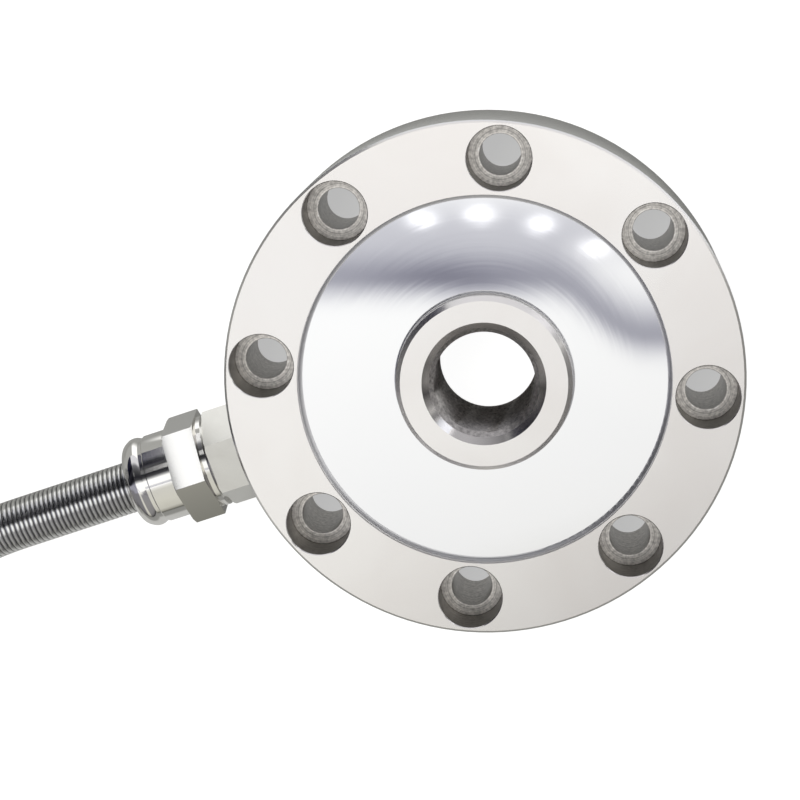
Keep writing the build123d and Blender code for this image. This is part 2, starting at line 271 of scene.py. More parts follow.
def splineLine(piece):
    # the points of the spline itself, read from the curve with no bevel
    depth, piece.data.bevel_depth = piece.data.bevel_depth, 0.0
    bpy.context.view_layer.update()
    read = bpy.data.meshes.new_from_object(piece)
    line = [vertex.co.copy() for vertex in read.vertices]
    bpy.data.meshes.remove(read)
    piece.data.bevel_depth = depth
    return line


def lineLength(line):
    return sum((b - a).length for a, b in zip(line, line[1:]))


def ribTree():
    # ribs along a curve: rows a third of a pitch apart, every third one sunk
    tree = bpy.data.node_groups.new("armourRibs", "GeometryNodeTree")
    tree.interface.new_socket("Geometry", in_out="INPUT", socket_type="NodeSocketGeometry")
    for title, kind in [("Pitch", "Float"), ("Depth", "Float"), ("Radius", "Float"), ("Sides", "Int")]:
        tree.interface.new_socket(title, in_out="INPUT", socket_type="NodeSocket" + kind)
    tree.interface.new_socket("Finish", in_out="INPUT", socket_type="NodeSocketMaterial")
    tree.interface.new_socket("Geometry", in_out="OUTPUT", socket_type="NodeSocketGeometry")
    given = tree.nodes.new("NodeGroupInput")
    result = tree.nodes.new("NodeGroupOutput")
    row = calc(tree, "DIVIDE", given.outputs["Pitch"], 3.0)
    rows = addNode(tree, "GeometryNodeResampleCurve", mode="LENGTH", inputs={
        "Curve": given.outputs["Geometry"], "Length": row})
    index = addNode(tree, "GeometryNodeInputIndex").outputs[0]
    sunk = calc(tree, "LESS_THAN", calc(tree, "MODULO", index, 3.0), 0.5)
    loss = product(tree, sunk, given.outputs["Depth"])
    size = calc(tree, "SUBTRACT", given.outputs["Radius"], loss)
    ring = addNode(tree, "GeometryNodeCurvePrimitiveCircle", inputs={
        "Resolution": given.outputs["Sides"], "Radius": 1.0})
    marked = addNode(tree, "GeometryNodeStoreNamedAttribute", data_type="FLOAT", domain="POINT", inputs={
        "Geometry": rows.outputs[0], "Name": "sunk", "Value": sunk})
    swept = addNode(tree, "GeometryNodeCurveToMesh", inputs={
        "Curve": marked.outputs[0], "Profile Curve": ring.outputs[0], "Scale": size, "Fill Caps": True})
    bend = addNode(tree, "GeometryNodeInputMeshEdgeAngle").outputs[0]
    soft = addNode(tree, "GeometryNodeSetShadeSmooth", domain="EDGE", inputs={
        "Geometry": swept.outputs[0], "Shade Smooth": calc(tree, "LESS_THAN", bend, 1.0)})
    faces = addNode(tree, "GeometryNodeSetShadeSmooth", domain="FACE", inputs={
        "Geometry": soft.outputs[0], "Shade Smooth": True})
    real = addNode(tree, "GeometryNodeRealizeInstances", inputs={"Geometry": faces.outputs[0]})
    dressed = addNode(tree, "GeometryNodeSetMaterial", inputs={
        "Geometry": real.outputs[0], "Material": given.outputs["Finish"]})
    tree.links.new(dressed.outputs[0], result.inputs[0])
    return tree


def runTree(source, tree, values, name):
    modifier = source.modifiers.new("made", "NODES")
    modifier.node_group = tree
    for socket in tree.interface.items_tree:
        if socket.in_out == "INPUT" and socket.name in values:
            modifier[socket.identifier] = values[socket.name]
    bpy.context.view_layer.update()
    ready = source.evaluated_get(bpy.context.evaluated_depsgraph_get())
    mesh = bpy.data.meshes.new_from_object(ready, preserve_all_data_layers=True)
    source.modifiers.remove(modifier)
    mesh.name = name
    return linkObject(bpy.data.objects.new(name, mesh))


def buildArmour(finish):
    guide = splineObject("armourGuide", armourRoute())
    line = splineLine(guide)
    piece = runTree(guide, ribTree(), {
        "Pitch": armour["ribPitch"],
        "Depth": armour["ribDepth"],
        "Radius": armour["radius"],
        "Sides": armour["ribSides"],
        "Finish": finish,
    }, "armourConduit")
    bpy.data.objects.remove(guide)
    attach(piece, "root")
    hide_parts("conduit_lead", "conduit_coil", "conduit_tail")
    print("armour", round(lineLength(line), 4), "m,", len(piece.data.polygons), "faces")


# Bare end of the signal cable and its cores, lying on the coil

cableEnd = {
    "radius": 2.75 * mm,
    "ferruleReach": 12.0,  # how far the ferrule stands past the armour's end
    "leadOut": 8.5,
    "coilTop": 21.6,
    "endAngle": -100.0,
    "length": 68.8 * mm,
}
tailCores = {
    "radius": 0.65 * mm,
    "circle": 1.35,
    "leadOut": 8.0,
    "startAngles": [162, 234, 90, 306, 18],
    "names": ["core_red", "core_black", "core_green", "core_white", "drain_wire"],
    "lengths": [37.6, 37.2, 39.5, 39.4, 42.1],
    "stripped": 6.0 * mm,
}


def cableRoute():
    before, start = (Vector(coilPoint(travel)) for travel in armour["lastTravel"])
    heading = start - before
    heading.z = 0
    heading.normalize()
    height = cableEnd["coilTop"] + cableEnd["radius"] / mm
    return [
        tuple(start),
        tuple(start + heading * (cableEnd["ferruleReach"] + cableEnd["leadOut"])),
        aroundCoil(-68, 58.2, height + 2.2),
        aroundCoil(-84, 57.6, height + 0.6),
        aroundCoil(cableEnd["endAngle"], 55.4, height),
    ]


def coreRoute(place, cablePoints):
    end = Vector(cablePoints[-1])
    heading = (end - Vector(cablePoints[-2])).normalized()
    outward = heading.cross(Vector((0, 0, 1))).normalized() * -1
    around = radians(tailCores["startAngles"][place])
    start = end + outward * (tailCores["circle"] * cos(around))
    start += outward.cross(heading).normalized() * (tailCores["circle"] * sin(around))
    low = cableEnd["coilTop"] + tailCores["radius"] / mm
    aside = place - 2
    return [
        tuple(start),
        tuple(start + heading * tailCores["leadOut"]),
        aroundCoil(-117, 55.4 + 1.8 * aside, low + 1.0 - 0.4 * abs(aside)),
        aroundCoil(-129, 55.0 + 2.3 * aside, low),
        aroundCoil(-141 + 1.5 * (place % 2), 54.6 + 2.6 * aside, low),
    ]


def tubePiece(name, pointsMm, radius, bevelSteps, finish):
    # a mesh tube along a spline, and the spline's own points
    guide = splineObject(name + "Guide", pointsMm, bevel=radius, bevelSteps=bevelSteps)
    line = splineLine(guide)
    mesh = bpy.data.meshes.new_from_object(guide)
    bpy.data.objects.remove(guide)
    mesh.name = name
    mesh.shade_smooth()
    mesh.set_sharp_from_angle(angle=radians(50))
    mesh.materials.clear()
    mesh.materials.append(finish)
    return linkObject(bpy.data.objects.new(name, mesh)), line


def stripEnd(piece, line, reach, finish):
    # bare wire on the last stretch
    piece.data.materials.append(finish)
    for face in piece.data.polygons:
        if (face.center - line[-1]).length < reach:
            face.material_index = 1


def buildCableEnd(jacket, coreFinishes, bareWire):
    points = cableRoute()
    cable, line = tubePiece("signalCableEnd", points, cableEnd["radius"], 7, jacket)
    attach(cable, "root")
    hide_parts("cable_tail")
    for place, name in enumerate(tailCores["names"]):
        route = coreRoute(place, points)
        piece, path = tubePiece(name + "_end", route, tailCores["radius"], 4, coreFinishes[name])
        stripEnd(piece, path, tailCores["stripped"], bareWire)
        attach(piece, "root")
        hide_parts(name)
    print("signal cable", round(lineLength(line), 4), "m and", len(tailCores["names"]), "cores")


# Shared shader effects

def buildTurnedMarks():
    # fine rings about the vector's Z axis, as a lathe leaves them
    tree, given, result = newGroup(
        "turnedMarks",
        [("Vector", "NodeSocketVector", None), ("Rings", "NodeSocketFloat", 4000.0)],
        [("Height", "NodeSocketFloat"), ("Radius", "NodeSocketFloat")],
    )
    x, y, z = partsOf(tree, given.outputs["Vector"])
    radius = offAxis(tree, x, y)
    # with a share of Z the rings run on along upright walls
    reach = total(tree, radius, product(tree, z, 0.7))
    rings = addNode(tree, "ShaderNodeTexNoise", noise_dimensions="1D", inputs={
        "W": product(tree, reach, given.outputs["Rings"]), "Scale": 1.0, "Detail": 1.0})
    tree.links.new(rings.outputs["Fac"], result.inputs["Height"])
    tree.links.new(radius, result.inputs["Radius"])
    return tree


def buildSmudges():
    # faint cloudy handling marks, and a finer grain
    tree, given, result = newGroup(
        "smudges",
        [("Vector", "NodeSocketVector", None), ("Size", "NodeSocketFloat", 40.0)],
        [("Cloud", "NodeSocketFloat"), ("Grain", "NodeSocketFloat")],
    )
    cloud = addNode(tree, "ShaderNodeTexNoise", inputs={
        "Vector": given.outputs["Vector"], "Scale": given.outputs["Size"], "Detail": 4.0,
        "Roughness": 0.55, "Distortion": 0.6})
    grain = addNode(tree, "ShaderNodeTexNoise", inputs={
        "Vector": given.outputs["Vector"], "Scale": product(tree, given.outputs["Size"], 60.0),
        "Detail": 2.0})
    tree.links.new(cloud.outputs["Fac"], result.inputs["Cloud"])
    tree.links.new(grain.outputs["Fac"], result.inputs["Grain"])
    return tree


def buildHoleField():
    # distance from the nearest bolt hole's axis
    tree, given, result = newGroup(
        "boltHoleField",
        [
            ("Vector", "NodeSocketVector", None),
            ("Circle", "NodeSocketFloat", 0.045),
            ("Count", "NodeSocketFloat", 8.0),
        ],
        [("Distance", "NodeSocketFloat"), ("Local", "NodeSocketVector")],
    )
    x, y, z = partsOf(tree, given.outputs["Vector"])
    radius = offAxis(tree, x, y)
    turns = calc(tree, "DIVIDE", calc(tree, "ARCTAN2", y, x), 2 * pi)
    sector = calc(tree, "FRACT", product(tree, turns, given.outputs["Count"]))
    offset = product(tree, calc(tree, "SUBTRACT", sector, 0.5), 2 * pi)
    offset = calc(tree, "DIVIDE", offset, given.outputs["Count"])
    across = product(tree, radius, calc(tree, "SINE", offset))
    along = product(tree, radius, calc(tree, "COSINE", offset))
    along = calc(tree, "SUBTRACT", along, given.outputs["Circle"])
    local = addNode(tree, "ShaderNodeCombineXYZ", {"X": along, "Y": across, "Z": z}).outputs[0]
    tree.links.new(offAxis(tree, along, across), result.inputs["Distance"])
    tree.links.new(local, result.inputs["Local"])
    return tree


turnedMarks = buildTurnedMarks()
smudges = buildSmudges()
holeField = buildHoleField()
print("shader groups ready")


# Finishes

def newFinish(name, metallic, roughness, colour):
    made = bpy.data.materials.new(name)
    made.use_nodes = True
    tree = made.node_tree
    tree.nodes.clear()
    shader = addNode(tree, "ShaderNodeBsdfPrincipled", {
        "Base Color": rgba(*colour), "Metallic": metallic, "Roughness": roughness})
    output = tree.nodes.new("ShaderNodeOutputMaterial")
    tree.links.new(shader.outputs[0], output.inputs[0])
    where = tree.nodes.new("ShaderNodeTexCoord").outputs["Object"]
    return made, tree, shader, where


def bumpFrom(tree, shader, height, strength, distance):
    made = addNode(tree, "ShaderNodeBump", {
        "Height": height, "Strength": strength, "Distance": distance})
    tree.links.new(made.outputs[0], shader.inputs["Normal"])


def toneRamp(tree, degree, tones):
    # a tone for each angle from -180 to 180 degrees
    ramp = addNode(tree, "ShaderNodeValToRGB", {
        "Fac": total(tree, calc(tree, "DIVIDE", degree, 360.0), 0.5)})
    stops = ramp.color_ramp.elements
    while len(stops) > 1:
        stops.remove(stops[-1])
    for number, (at, tone) in enumerate(tones):
        place = (at + 180) / 360
        stop = stops[0] if number == 0 else stops.new(place)
        stop.position = place
        stop.color = rgba(*tone)
    ramp.color_ramp.interpolation = "LINEAR"
    return ramp.outputs[0]


def exitAxis(tree, where):
    # the vector with its Z along the cable exit
    return addNode(tree, "ShaderNodeMapping", {
        "Vector": where,
        "Location": (-armour["lead"][0][2] * mm, 0.0, 0.0),
        "Rotation": (0.0, radians(90), 0.0),
    }).outputs[0]


cellSteel = {
    "face": (0.945, 0.925, 0.90),
    "faceDark": (0.905, 0.875, 0.845),
    "cloudSize": 26.0,
    "cloudEdges": (0.35, 0.7),
    "relief": (0.12, 0.02 * mm),  # strength and height
    "outerWall": (0.86, 0.86, 0.85),
    "mouth": (0.60, 0.58, 0.56),
    "mouthRadius": 12.52 * mm,
    "mouthTop": 28.38 * mm,
    # painted highlights and painted shade round the mouth, by the angle from +X in degrees
    "mouthLightAndShade": [
        (-180, 1.0), (-164, 1.0), (-158, 1.9), (-145, 1.9), (-139, 1.1), (-125, 1.0), (-108, 0.75),
        (-90, 0.45), (-72, 1.0), (-40, 1.0), (-30, 0.9), (-23, 0.5), (-15, 0.9), (10, 1.1), (40, 1.3),
        (72, 1.6), (115, 1.4), (142, 0.7), (160, 1.1), (172, 0.4), (180, 1.0),
    ],
    "boreWall": (0.40, 0.385, 0.36),
    # the counterbore's wall is darkened as painted shade
    "shadedCounterWall": (0.20, 0.185, 0.165),
    "ledge": (0.70, 0.67, 0.63),
    # the thread's tint is darkened as painted shade in the bore
    "thread": (0.56, 0.54, 0.525),
    "threadGrain": (0.2, 1.8),
    "holeGrain": (0.35, 1.65),
    "holeRings": (0.40, 1.55),
    "roughness": (0.20, 0.26),
    "rougherInside": 0.14,
    "ringEdge": (52.2 * mm, 52.35 * mm),
    "counterbore": (4.25 * mm, 6.42 * mm),
    "holeEdge": 6.53 * mm,
    "holeTop": 25.75 * mm,
    "threadEdge": (11.2 * mm, 11.1 * mm),
    "faceMarks": {"rings": 1500.0, "height": 0.3},
    "holeMarks": {"rings": 3200.0, "height": 6.0},
}


def finishCellSteel():
    look = cellSteel
    made, tree, shader, where = newFinish("cellSteel", 1.0, look["roughness"][1], look["face"])
    marks = useGroup(tree, turnedMarks, {"Vector": where, "Rings": look["faceMarks"]["rings"]})
    cloud = useGroup(tree, smudges, {"Vector": where, "Size": look["cloudSize"]})
    holes = useGroup(tree, holeField, {"Vector": where})
    bored = useGroup(tree, turnedMarks, {
        "Vector": holes.outputs["Local"], "Rings": look["holeMarks"]["rings"]})
    x, y, height = partsOf(tree, where)
    radius = marks.outputs["Radius"]
    grain = cloud.outputs["Grain"]

    colour = mixColour(
        tree, edgeMask(tree, cloud.outputs["Cloud"], *look["cloudEdges"]),
        rgba(*look["face"]), rgba(*look["faceDark"]))
    colour = mixColour(tree, edgeMask(tree, radius, *look["ringEdge"]), colour, rgba(*look["outerWall"]))

    # the hub's mouth and its thread
    inMouth = product(tree, calc(tree, "LESS_THAN", radius, look["mouthRadius"]),
                      calc(tree, "LESS_THAN", height, look["mouthTop"]))
    angle = calc(tree, "DEGREES", calc(tree, "ARCTAN2", y, x))
    # the mouth's tint times painted highlights and painted shade that change with the angle round the
    # bore
    mouthLightAndShade = toneRamp(tree, angle, [(degree, (tone,) * 3) for degree, tone in look["mouthLightAndShade"]])
    colour = mixColour(tree, inMouth, colour, shaded(tree, look["mouth"], mouthLightAndShade))
    inThread = edgeMask(tree, radius, *look["threadEdge"])
    # a darker tint in the thread, painted shade in the bore, with a fine grain
    shadedThreadTint = shaded(tree, look["thread"], spread(tree, grain, *look["threadGrain"]))
    colour = mixColour(tree, inThread, colour, shadedThreadTint)

    # the bolt holes: the drilled wall, the counterbore's wall, darkened as painted shade, and the ledge
    # between them
    distance = holes.outputs["Distance"]
    low, high = look["counterbore"]
    inHole = product(tree, calc(tree, "LESS_THAN", distance, look["holeEdge"]),
                     calc(tree, "LESS_THAN", height, look["holeTop"]))
    ringShade = product(tree, spread(tree, bored.outputs["Height"], *look["holeRings"]),
                        spread(tree, grain, *look["holeGrain"]))
    wall = mixColour(tree, calc(tree, "GREATER_THAN", distance, high),
                     rgba(*look["boreWall"]), rgba(*look["shadedCounterWall"]))
    wall = mixColour(tree, 1.0, wall, ringShade, blend="MULTIPLY")
    ledge = shaded(tree, look["ledge"], ringShade)
    holeTint = mixColour(tree, within(tree, distance, low, high), wall, ledge)
    colour = mixColour(tree, inHole, colour, holeTint)
    tree.links.new(colour, shader.inputs["Base Color"])

    inside = calc(tree, "MAXIMUM", inHole, inThread)
    rough = spread(tree, cloud.outputs["Cloud"], *look["roughness"])
    rough = total(tree, rough, product(tree, inside, look["rougherInside"]))
    tree.links.new(rough, shader.inputs["Roughness"])
    relief = total(
        tree, product(tree, marks.outputs["Height"], look["faceMarks"]["height"]),
        product(tree, bored.outputs["Height"], inHole, look["holeMarks"]["height"]))
    bumpFrom(tree, shader, relief, *look["relief"])
    return made


coverLook = {
    "bright": (0.90, 0.90, 0.905),
    "soft": (0.86, 0.87, 0.885),
    "weld": (0.80, 0.80, 0.81),
    "cloudSize": 18.0,
    "relief": (0.20, 0.08 * mm),
    "weldEdges": (18.22 * mm, 36.84 * mm),
    "roughness": (0.01, 0.045),
    "weldRougher": 0.42,
    "rings": 900.0,
    "ringShare": 0.02,
}


def finishPolishedCover():
    look = coverLook
    made, tree, shader, where = newFinish("coverPolish", 1.0, look["roughness"][1], look["bright"])
    cloud = useGroup(tree, smudges, {"Vector": where, "Size": look["cloudSize"]})
    marks = useGroup(tree, turnedMarks, {"Vector": where, "Rings": look["rings"]})
    weld = opposite(tree, within(tree, marks.outputs["Radius"], *look["weldEdges"]))
    tint = mixColour(tree, cloud.outputs["Cloud"], rgba(*look["bright"]), rgba(*look["soft"]))
    tint = mixColour(tree, weld, tint, rgba(*look["weld"]))
    tree.links.new(tint, shader.inputs["Base Color"])
    rough = spread(tree, cloud.outputs["Cloud"], *look["roughness"])
    rough = total(tree, rough, product(tree, weld, look["weldRougher"]))
    tree.links.new(rough, shader.inputs["Roughness"])
    rings = product(tree, marks.outputs["Height"], look["ringShare"])
    bumpFrom(tree, shader, total(tree, cloud.outputs["Cloud"], rings), *look["relief"])
    return made


platedLook = {
    "cloudSize": 90.0,
    "cloudEdges": (0.4, 0.75),
    "relief": (0.04, 0.02 * mm),
}


def finishPlated(name, colour, dark, roughness, rings, flats=None):
    # flats: the stretch along the exit where the piece is milled and polished, and its look there
    look = platedLook
    made, tree, shader, where = newFinish(name, 1.0, roughness[0], colour)
    turned = exitAxis(tree, where)
    marks = useGroup(tree, turnedMarks, {"Vector": turned, "Rings": rings})
    cloud = useGroup(tree, smudges, {"Vector": where, "Size": look["cloudSize"]})
    clouded = edgeMask(tree, cloud.outputs["Cloud"], *look["cloudEdges"])
    tint = mixColour(tree, clouded, rgba(*colour), rgba(*dark))
    rough = spread(tree, cloud.outputs["Grain"], *roughness)
    height = marks.outputs["Height"]
    if flats:
        milled = within(tree, partsOf(tree, where)[0], -flats["to"], -flats["from"])
        turnedPart = opposite(tree, milled)
        tint = mixColour(tree, milled, tint, rgba(*flats["colour"]))
        rough = total(tree, product(tree, rough, turnedPart), product(tree, milled, flats["rough"]))
        height = product(tree, height, turnedPart)
    tree.links.new(tint, shader.inputs["Base Color"])
    tree.links.new(rough, shader.inputs["Roughness"])
    bumpFrom(tree, shader, height, *look["relief"])
    return made


armourLook = {
    "rib": (0.86, 0.86, 0.85),
    "ribDark": (0.76, 0.76, 0.75),
    # the groove colour is painted shade in the creases between the ribs
    "groove": (0.13, 0.13, 0.13),
    "grooveShadeFall": 1.3,
    "roughness": (0.14, 0.26),
    "cloudSize": 60.0,
    "relief": (0.10, 0.02 * mm),
}


def finishArmour():
    look = armourLook
    made, tree, shader, where = newFinish("armourSteel", 1.0, look["roughness"][1], look["rib"])
    cloud = useGroup(tree, smudges, {"Vector": where, "Size": look["cloudSize"]})
    tint = mixColour(tree, cloud.outputs["Cloud"], rgba(*look["rib"]), rgba(*look["ribDark"]))
    sunk = addNode(tree, "ShaderNodeAttribute", attribute_name="sunk").outputs["Fac"]
    # rows marked sunk are darkened: painted shade in the grooves
    tint = mixColour(tree, calc(tree, "POWER", sunk, look["grooveShadeFall"]), tint, rgba(*look["groove"]))
    tree.links.new(tint, shader.inputs["Base Color"])
    tree.links.new(spread(tree, cloud.outputs["Grain"], *look["roughness"]), shader.inputs["Roughness"])
    bumpFrom(tree, shader, cloud.outputs["Grain"], *look["relief"])
    return made


plainLook = {
    "cloudSize": 120.0,
    "roughShares": (0.85, 1.15),
    "relief": (0.15, 0.03 * mm),
}


def finishPlain(name, colour, dark, roughness, metallic=0.0):
    # moulded, printed or woven small parts: a tone that drifts, and a fine grain
    look = plainLook
    made, tree, shader, where = newFinish(name, metallic, roughness, colour)
    cloud = useGroup(tree, smudges, {"Vector": where, "Size": look["cloudSize"]})
    tint = mixColour(tree, cloud.outputs["Cloud"], rgba(*colour), rgba(*dark))
    tree.links.new(tint, shader.inputs["Base Color"])
    low, high = (roughness * share for share in look["roughShares"])
    tree.links.new(spread(tree, cloud.outputs["Grain"], low, high), shader.inputs["Roughness"])
    bumpFrom(tree, shader, cloud.outputs["Grain"], *look["relief"])
    return made


finishes = {
    "cell_steel": finishCellSteel(),
    "polished_cover": finishPolishedCover(),
    "satin_fitting": finishPlated(
        "fittingSatin", (0.72, 0.715, 0.685), (0.67, 0.66, 0.63), (0.16, 0.24), 5000.0),
    "plated_fitting": finishPlated(
        "nickelPlate", (0.90, 0.89, 0.87), (0.84, 0.83, 0.80), (0.05, 0.10), 4200.0, flats={
            "from": 60.61 * mm, "to": 67.19 * mm, "colour": (0.93, 0.925, 0.91),
            "rough": 0.04}),
    "armour_steel": finishArmour(),
    "cable_jacket": finishPlain("jacketRubber", (0.035, 0.035, 0.038), (0.06, 0.06, 0.062), 0.55),
    "core_red": finishPlain("coreRed", (0.55, 0.02, 0.02), (0.42, 0.015, 0.015), 0.38),
    "core_black": finishPlain("coreBlack", (0.02, 0.02, 0.02), (0.04, 0.04, 0.04), 0.38),
    "core_green": finishPlain("coreGreen", (0.02, 0.28, 0.09), (0.015, 0.2, 0.06), 0.38),
    "core_white": finishPlain("coreWhite", (0.8, 0.8, 0.77), (0.68, 0.68, 0.65), 0.38),
    "tinned_copper": finishPlain(
        "tinnedCopper", (0.7, 0.69, 0.66), (0.5, 0.49, 0.46), 0.3, metallic=1.0),
    "seal_rubber": finishPlain("sealRubber", (0.02, 0.02, 0.02), (0.035, 0.035, 0.035), 0.6),
    "board_laminate": finishPlain("boardLaminate", (0.03, 0.20, 0.08), (0.02, 0.14, 0.05), 0.4),
    "resistor_ceramic": finishPlain("resistorCeramic", (0.06, 0.055, 0.05), (0.1, 0.09, 0.08), 0.5),
    "gauge_foil": finishPlain("gaugeFoil", (0.62, 0.38, 0.10), (0.5, 0.3, 0.08), 0.3),
    "lead_sleeve": finishPlain("leadSleeve", (0.62, 0.55, 0.36), (0.5, 0.44, 0.3), 0.5),
    "pad_tape": finishPlain("padTape", (0.7, 0.7, 0.64), (0.55, 0.55, 0.5), 0.7),
}


def dressNodes():
    slotOf = {part["node"]: part["material_slot"] for part in frame["record"]["subparts"]}
    for name, node in cadNodes.items():
        finish = finishes[slotOf[name]]
        node.data.materials.clear()
        node.data.materials.append(finish)
    print("dressed", len(cadNodes), "nodes")


dressNodes()


# Cell body: the solid's own mesh with a thread cut in its hub

hubThread = {
    "bore": 10.25 * mm,
    "depth": 0.75 * mm,
    "pitch": 1.5 * mm,
    "rowsPerPitch": 8,
    "columns": 120,
    "runOut": 0.9 * mm,
    "flat": 0.2,  # share of the pitch that is crest
    "merge": 0.002 * mm,
    "sharpAngle": 28,
    "wallSlack": 0.02 * mm,
    "wallTilt": 0.2,  # most that the bore's wall may lean
}


def threadRadius(angle, height, low, high):
    turn = (height / hubThread["pitch"] - angle / (2 * pi)) % 1.0
    ramp = abs(turn - 0.5) * 2  # 1 at the crest, 0 at the root
    groove = min(max((1 - ramp) / (1 - hubThread["flat"]), 0.0), 1.0)
    fade = min(max(min(height - low, high - height) / hubThread["runOut"], 0.0), 1.0)
    return hubThread["bore"] + hubThread["depth"] * groove * fade


def buildCellBody():
    mesh = cadNodes["body"].data.copy()
    mesh.name = "cellBody"
    work = bmesh.new()
    work.from_mesh(mesh)
    bmesh.ops.remove_doubles(work, verts=work.verts, dist=hubThread["merge"])
    near = hubThread["bore"] + hubThread["wallSlack"]
    wall = [
        face for face in work.faces
        if abs(face.normal.z) < hubThread["wallTilt"]
        and all(hypot(v.co.x, v.co.y) < near for v in face.verts)
    ]
    heights = [v.co.z for face in wall for v in face.verts]
    low, high = min(heights), max(heights)
    bmesh.ops.delete(work, geom=wall, context="FACES")
    columns = hubThread["columns"]
    rowCount = round((high - low) / hubThread["pitch"] * hubThread["rowsPerPitch"])
    rows = []
    for step in range(1, rowCount):
        height = low + (high - low) * step / rowCount
        row = []
        for column in range(columns):
            angle = 2 * pi * column / columns
            radius = threadRadius(angle, height, low, high)
            row.append(work.verts.new((radius * cos(angle), radius * sin(angle), height)))
        rows.append(row)
    for lower, upper in zip(rows, rows[1:]):
        for i in range(columns):
            j = (i + 1) % columns
            work.faces.new((lower[i], upper[i], upper[j], lower[j]))
    for level, row in ((low, rows[0]), (high, rows[-1])):
        rim = {
            v for v in work.verts
            if abs(v.co.z - level) < hubThread["merge"] and hypot(v.co.x, v.co.y) < near
        }
        loop = [edge for edge in work.edges if edge.verts[0] in rim and edge.verts[1] in rim]
        loop += [work.edges.get((row[i], row[(i + 1) % columns])) for i in range(columns)]
        bmesh.ops.bridge_loops(work, edges=loop)
    bmesh.ops.recalc_face_normals(work, faces=work.faces)
    work.normal_update()
    for face in work.faces:
        face.smooth = True
    sharp = radians(hubThread["sharpAngle"])
    for edge in work.edges:
        edge.smooth = not (edge.is_manifold and edge.calc_face_angle() > sharp)
    work.to_mesh(mesh)
    work.free()
    if "custom_normal" in mesh.attributes:
        mesh.attributes.remove(mesh.attributes["custom_normal"])
    mesh.update()
    piece = linkObject(bpy.data.objects.new("cellBody", mesh))
    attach(piece, "root")
    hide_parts("body")
    openEdges = sum(1 for edge in mesh.edges if edge.is_loose)
    print("cell body", len(mesh.polygons), "faces,", openEdges, "loose edges")


buildCellBody()
buildArmour(finishes["armour_steel"])
buildCableEnd(finishes["cable_jacket"], {
    name: finishes["tinned_copper" if name == "drain_wire" else name] for name in tailCores["names"]
}, finishes["tinned_copper"])


# Studio: floor, sky and a light for the floor

studio = {
    "floorSide": 16.0,
    "floorColour": (0.20, 0.20, 0.185),
    "floorGlow": 0.95,
    "floorShade": (38 * mm, 52.4 * mm),  # under the ring the floor stays in shade
    "floorShadeSoft": 4 * mm,
    "floorShadeGlow": 0.47,
    # glow mirrored in the metal, by the place along +Y in metres
    "mirrorGlow": [
        (-0.075, 0.0), (-0.045, 0.24), (-0.012, 0.24), (-0.004, 0.02), (0.020, 0.06), (0.038, 0.9),
    ],
    "contactShade": (58 * mm, 66 * mm),
    "glandShade": {"x": (-74 * mm, -80 * mm), "y": (14 * mm, 24 * mm), "left": 0.12},
    "holeGlow": {"from": 40 * mm, "to": 50 * mm, "glow": 0.30},
    "mirrorBase": 0.10,
    "upAngle": 71.53,  # direction in the plane that is up in the picture, degrees
    "lampPlace": (-0.5, 0.7, 1.7),
    "lampSide": 1.2,
    "lampPower": 26.0,
    # sky tone by its angle from overhead, towards +Y
    "sky": [
        (-180, (0.28, 0.28, 0.26)),
        (-97, (0.14, 0.14, 0.12)),
        (-87, (0.16, 0.16, 0.14)),
        (-84.5, (0.36, 0.35, 0.31)),
        (-76, (0.60, 0.59, 0.53)),
        (-50, (0.68, 0.67, 0.60)),
        (-19, (0.68, 0.67, 0.62)),
        (-17, (0.74, 0.73, 0.68)),
        (-14, (0.98, 0.975, 0.96)),
        (-5, (1.16, 1.16, 1.15)),
        (12, (1.20, 1.20, 1.20)),
        (16, (0.45, 0.45, 0.46)),
        (21, (0.06, 0.06, 0.065)),
        (29, (0.02, 0.02, 0.025)),
        (46, (0.08, 0.08, 0.085)),
        (60, (0.26, 0.26, 0.27)),
        (70, (1.08, 1.08, 1.08)),
        (96, (1.05, 1.05, 1.05)),
        (180, (0.28, 0.28, 0.26)),
    ],
    # shades over parts of the sky: each deepens between two values along X and between two angles
    "dims": [
        {"x": (-0.20, -0.12), "angle": (-14.5, -19), "left": 0.42},
        {"x": (-0.22, -0.17), "angle": (45, 52), "left": 0.72},
        {"x": (-0.2345, -0.2360), "angle": (44, 54), "left": 0.05},
        {"x": (-0.34, -0.50), "angle": (-179, -178), "left": 0.30},
    ],
    "dimBlue": 0.86,  # where the sky is dimmed it keeps more of its blue
    # narrow cards that the nut's widest flat and the bore's mouth mirror
    "cards": [
        {"x": (-0.2403, -0.2245), "angle": (31, 42), "glow": 1.2},
        {"x": (0.80, 1.10), "angle": (56, 66), "glow": 2.4},
    ],
    "band": {
        "up": -0.1545, "sink": -0.026, "start": -0.01, "end": 0.035,
        "half": (0.0085, 0.0150),  # below and above its middle
        "dark": 0.62,
        "core": {"right": -0.055, "half": 0.035, "dark": 0.16},
    },
    "veil": {"up": -0.131, "half": 0.014, "dark": 0.36},
    "spots": [(-0.066, -0.1275), (-0.040, -0.1257), (-0.0125, -0.130), (0.0125, -0.1406)],
    "spotHalf": (0.0058, 0.0032),
    "spotGain": 1.2,
}


def bell(tree, value, half):
    # 1 at no value, falling off evenly to both sides
    share = calc(tree, "DIVIDE", value, half)
    return calc(tree, "EXPONENT", product(tree, share, share, -1.0))


